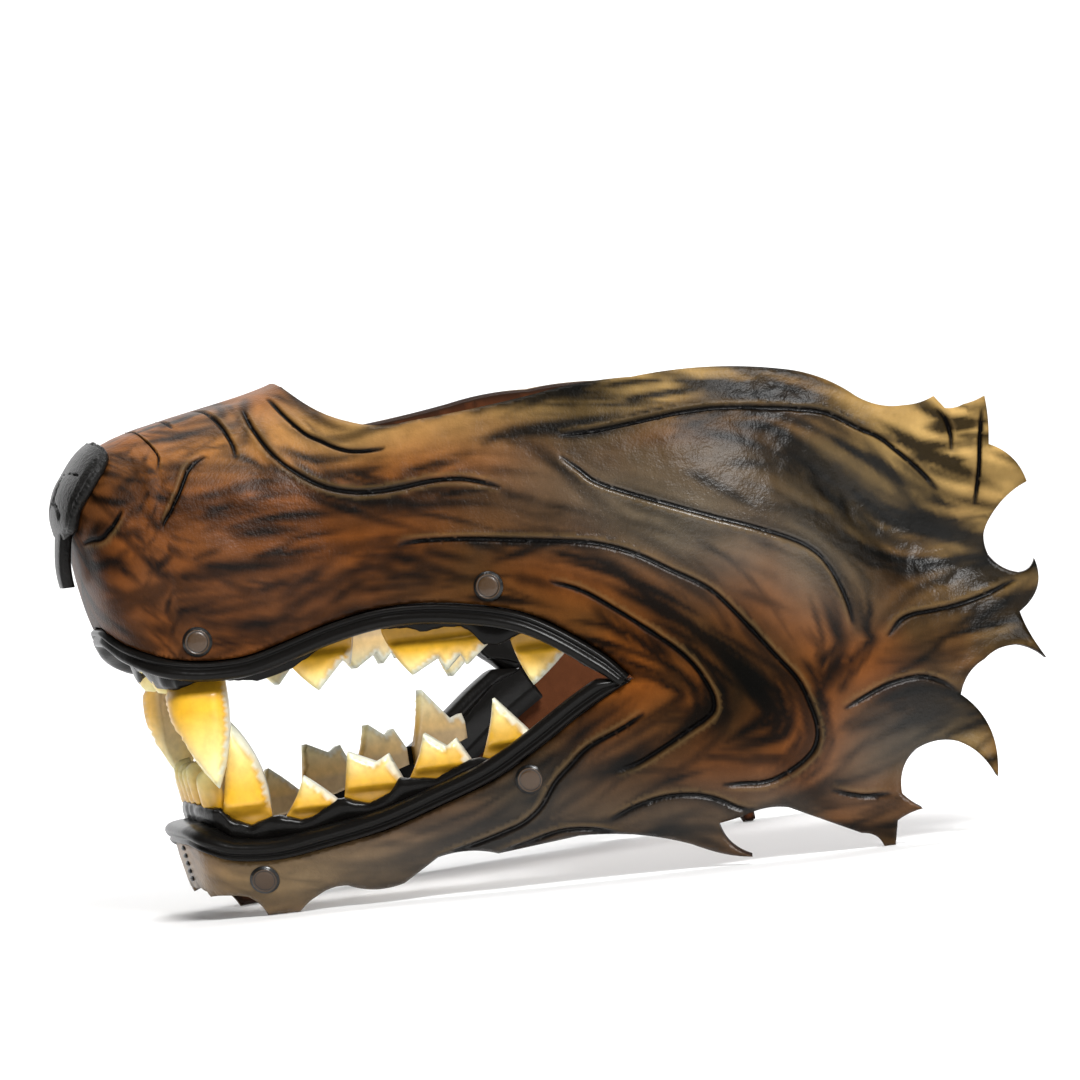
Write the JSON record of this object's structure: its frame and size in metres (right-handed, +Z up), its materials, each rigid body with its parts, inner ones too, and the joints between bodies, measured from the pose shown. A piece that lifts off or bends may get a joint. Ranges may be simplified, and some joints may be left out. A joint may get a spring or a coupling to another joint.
{
  "type": "leather wolf mask",
  "caption": "Moulded leather half mask shaped as a snarling wolf's muzzle, open behind for the face, with lips, gums and separate leather teeth.",
  "frame": {"origin": "middle of the bounding box at the height of the surface it stands on", "axes": "-Y towards the wolf's nose, +Z up, +X towards the wolf's left cheek"},
  "size_m": [0.1559, 0.222, 0.1272],
  "materials": {
    "painted_leather": "brown and black airbrushed leather with a satin varnish",
    "black_leather": "glossy black painted leather",
    "nose_leather": "grained black satin leather",
    "tooth_leather": "yellow painted leather, paler towards the points",
    "rivet_metal": "painted over with the leather"
  },
  "bodies": {
    "root": {"lower_canine_left": "tooth_leather", "lower_canine_right": "tooth_leather", "lower_first_incisor_left": "tooth_leather", "lower_first_incisor_right": "tooth_leather", "lower_first_premolar_left": "tooth_leather", "lower_first_premolar_right": "tooth_leather", "lower_gum": "black_leather", "lower_lip": "black_leather", "lower_molar_left": "tooth_leather", "lower_molar_right": "tooth_leather", "lower_second_incisor_left": "tooth_leather", "lower_second_incisor_right": "tooth_leather", "lower_second_premolar_left": "tooth_leather", "lower_second_premolar_right": "tooth_leather", "lower_third_incisor_left": "tooth_leather", "lower_third_incisor_right": "tooth_leather", "lower_third_premolar_left": "tooth_leather", "lower_third_premolar_right": "tooth_leather", "mask_shell": "painted_leather", "nose_pad": "nose_leather", "rivet_lower_front_left": "rivet_metal", "rivet_lower_front_right": "rivet_metal", "rivet_lower_rear_left": "rivet_metal", "rivet_lower_rear_right": "rivet_metal", "rivet_upper_front_left": "rivet_metal", "rivet_upper_front_right": "rivet_metal", "rivet_upper_rear_left": "rivet_metal", "rivet_upper_rear_right": "rivet_metal", "upper_canine_left": "tooth_leather", "upper_canine_right": "tooth_leather", "upper_carnassial_left": "tooth_leather", "upper_carnassial_right": "tooth_leather", "upper_first_incisor_left": "tooth_leather", "upper_first_incisor_right": "tooth_leather", "upper_gum": "black_leather", "upper_lip": "black_leather", "upper_molar_left": "tooth_leather", "upper_molar_right": "tooth_leather", "upper_premolar_left": "tooth_leather", "upper_premolar_right": "tooth_leather", "upper_second_incisor_left": "tooth_leather", "upper_second_incisor_right": "tooth_leather", "upper_third_incisor_left": "tooth_leather", "upper_third_incisor_right": "tooth_leather"}
  },
  "joints": []
}
